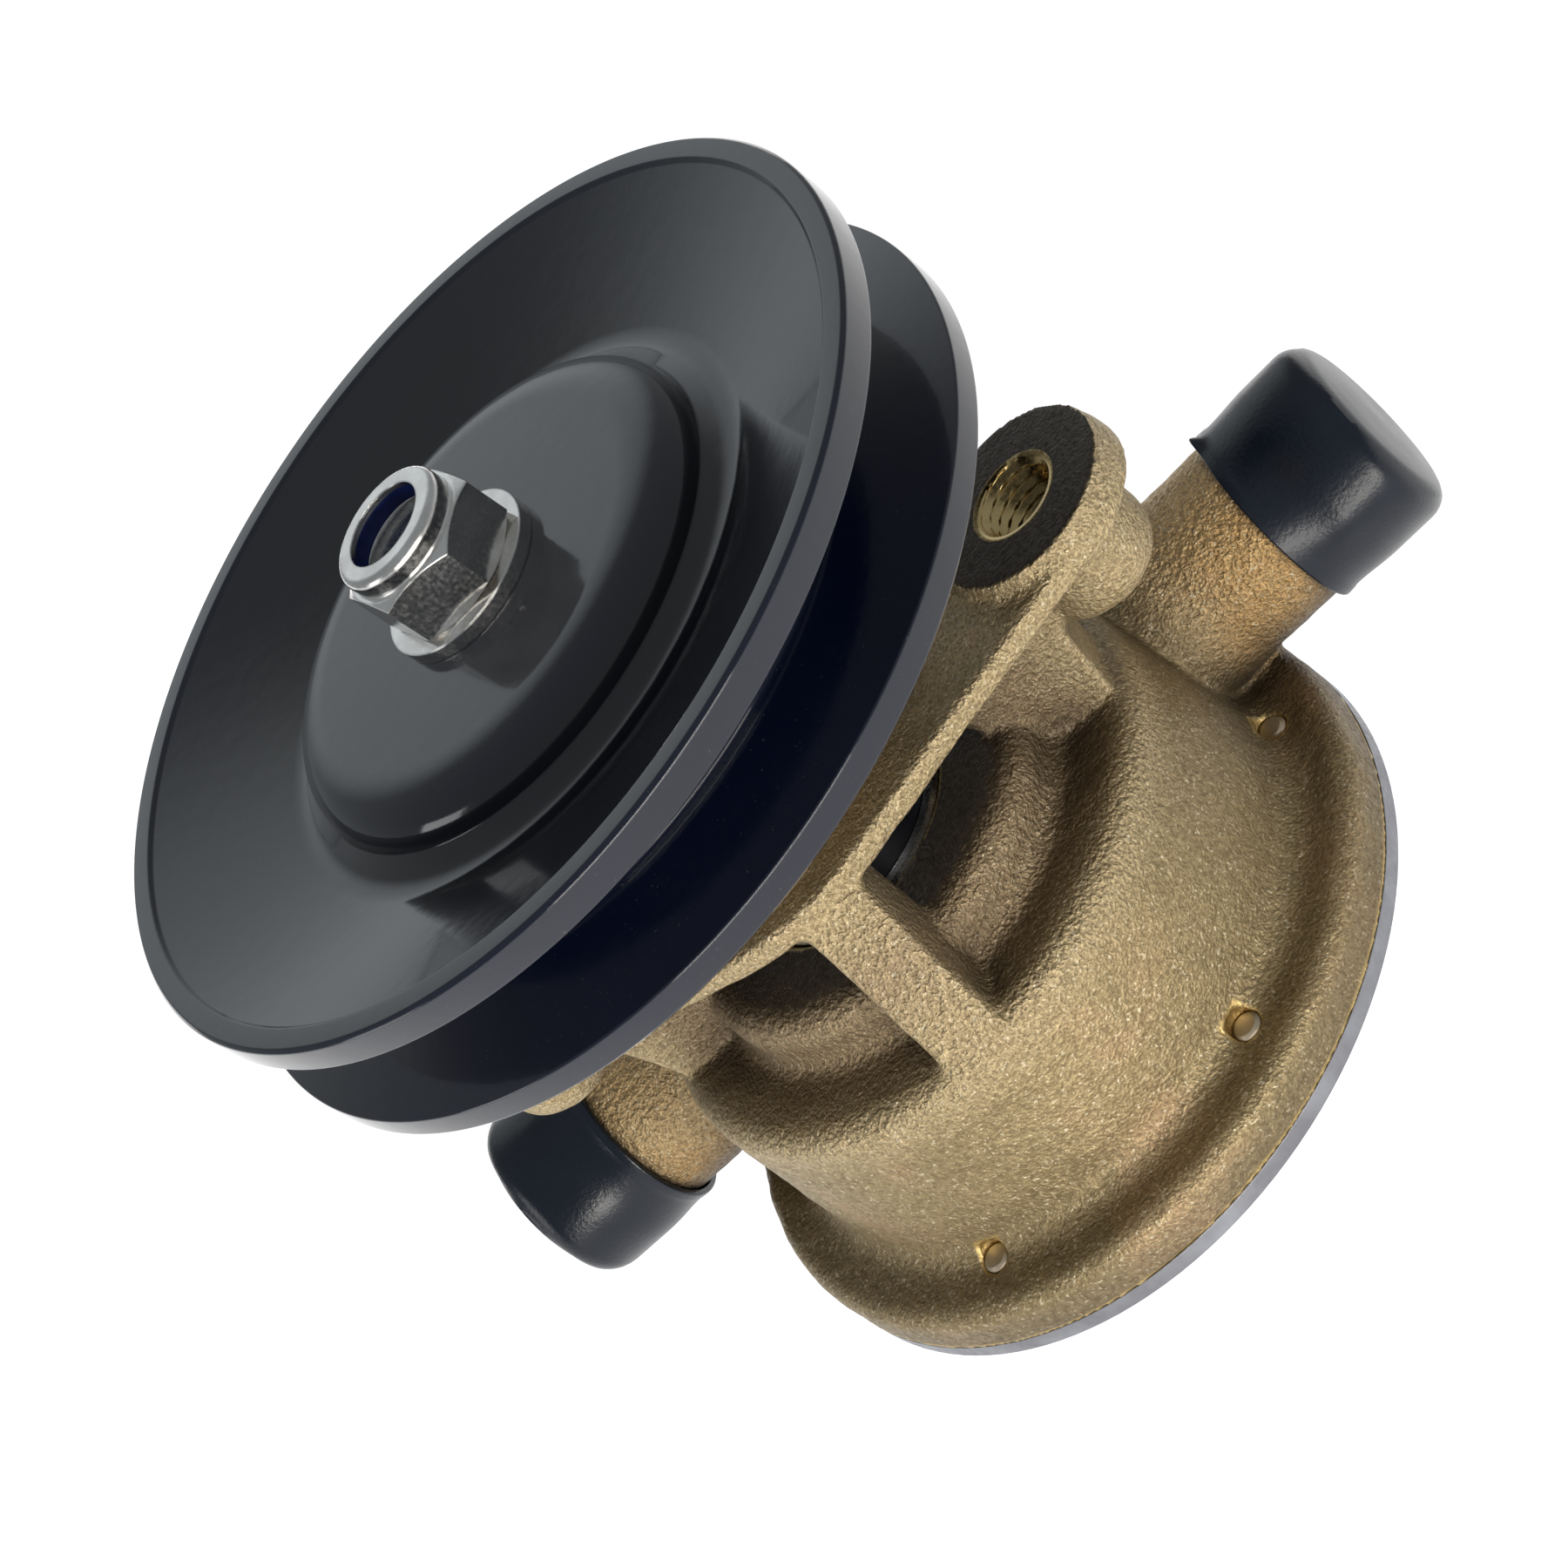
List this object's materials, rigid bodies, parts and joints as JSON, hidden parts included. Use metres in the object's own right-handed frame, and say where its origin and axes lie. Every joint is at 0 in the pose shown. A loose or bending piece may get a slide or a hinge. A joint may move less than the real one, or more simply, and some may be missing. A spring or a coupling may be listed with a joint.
{
  "type": "flexible impeller pump",
  "caption": "Belt-driven flexible impeller pump: rough bronze casting with capped side hose nipples, open bearing frame, threaded mounting ears and a black V-belt pulley on top.",
  "frame": {"origin": "on the shaft's axis, level with the underside of the cover screws' heads", "axes": "+Z along the shaft towards the pulley and its nut; +X along the line of the two threaded ears, with the hose ports 1.8 degrees off it; +Y towards the side on which the ports lie"},
  "size_m": [0.1964, 0.152, 0.1553],
  "materials": {
    "cast_bronze": "sand-cast bronze, rough, with bright machined faces",
    "cover_steel": "rolled stainless plate, satin",
    "seal_rubber": "matt nitrile rubber",
    "screw_brass": "turned brass, slightly dull",
    "turned_bronze": "turned bronze, smooth",
    "spring_steel": "bright steel",
    "bearing_steel": "ground bearing steel",
    "shield_rubber": "black rubber shield, slightly glossy",
    "dark_spring_steel": "phosphated spring steel",
    "shaft_steel": "ground stainless steel",
    "black_paint": "black gloss paint on steel",
    "zinc_plate": "bright zinc plate",
    "blue_nylon": "blue nylon",
    "vane_rubber": "moulded neoprene",
    "cage_brass": "pressed brass",
    "ball_steel": "polished steel",
    "soft_vinyl": "soft dipped vinyl, dark slate, half matt"
  },
  "bodies": {
    "housing": {"pump_body": "cast_bronze", "cover_plate": "cover_steel", "cover_o_ring": "seal_rubber", "cover_screws": "screw_brass", "wear_plate": "cover_steel", "cam": "turned_bronze", "cam_screw": "screw_brass", "seal_case": "spring_steel", "seal_lip": "seal_rubber", "seal_spring": "spring_steel", "rear_bearing_outer_ring": "bearing_steel", "rear_bearing_shields": "shield_rubber", "front_bearing_outer_ring": "bearing_steel", "front_bearing_shields": "shield_rubber", "bearing_circlip": "dark_spring_steel"},
    "rotor": {"shaft": "shaft_steel", "rear_bearing_inner_ring": "bearing_steel", "front_bearing_inner_ring": "bearing_steel", "shaft_circlip": "dark_spring_steel", "bearing_spacer": "shaft_steel", "slinger": "seal_rubber", "hub_spacer": "shaft_steel", "pulley_hub": "black_paint", "pulley_front_half": "black_paint", "pulley_rear_half": "black_paint", "pulley_key": "shaft_steel", "pulley_washer": "zinc_plate", "lock_nut": "zinc_plate", "nylon_insert": "blue_nylon", "impeller_bush": "turned_bronze", "impeller_key": "shaft_steel", "impeller": "vane_rubber"},
    "bearing_cages": {"rear_bearing_cage": "cage_brass", "rear_bearing_balls": "ball_steel", "front_bearing_cage": "cage_brass", "front_bearing_balls": "ball_steel"},
    "right_cap": {"right_port_cap": "soft_vinyl"},
    "left_cap": {"left_port_cap": "soft_vinyl"}
  },
  "joints": [
    {"name": "shaft_spin", "type": "hinge", "parent": "housing", "child": "rotor", "pos_m": [0, 0, 0.1], "axis": [0, 0, 1], "continuous": true, "deforming": ["impeller"]},
    {"name": "cage_spin", "type": "hinge", "parent": "housing", "child": "bearing_cages", "pos_m": [0, 0, 0.07], "axis": [0, 0, 1], "continuous": true},
    {"name": "right_cap_pull", "type": "slide", "parent": "housing", "child": "right_cap", "axis": [0.9995, 0.0314, 0], "range_m": [0, 0.03]},
    {"name": "left_cap_pull", "type": "slide", "parent": "housing", "child": "left_cap", "axis": [-0.9995, -0.0314, 0], "range_m": [0, 0.03]}
  ],
  "couplings": [
    {"joint": "cage_spin", "follows": "shaft_spin", "ratio": 0.3842}
  ]
}
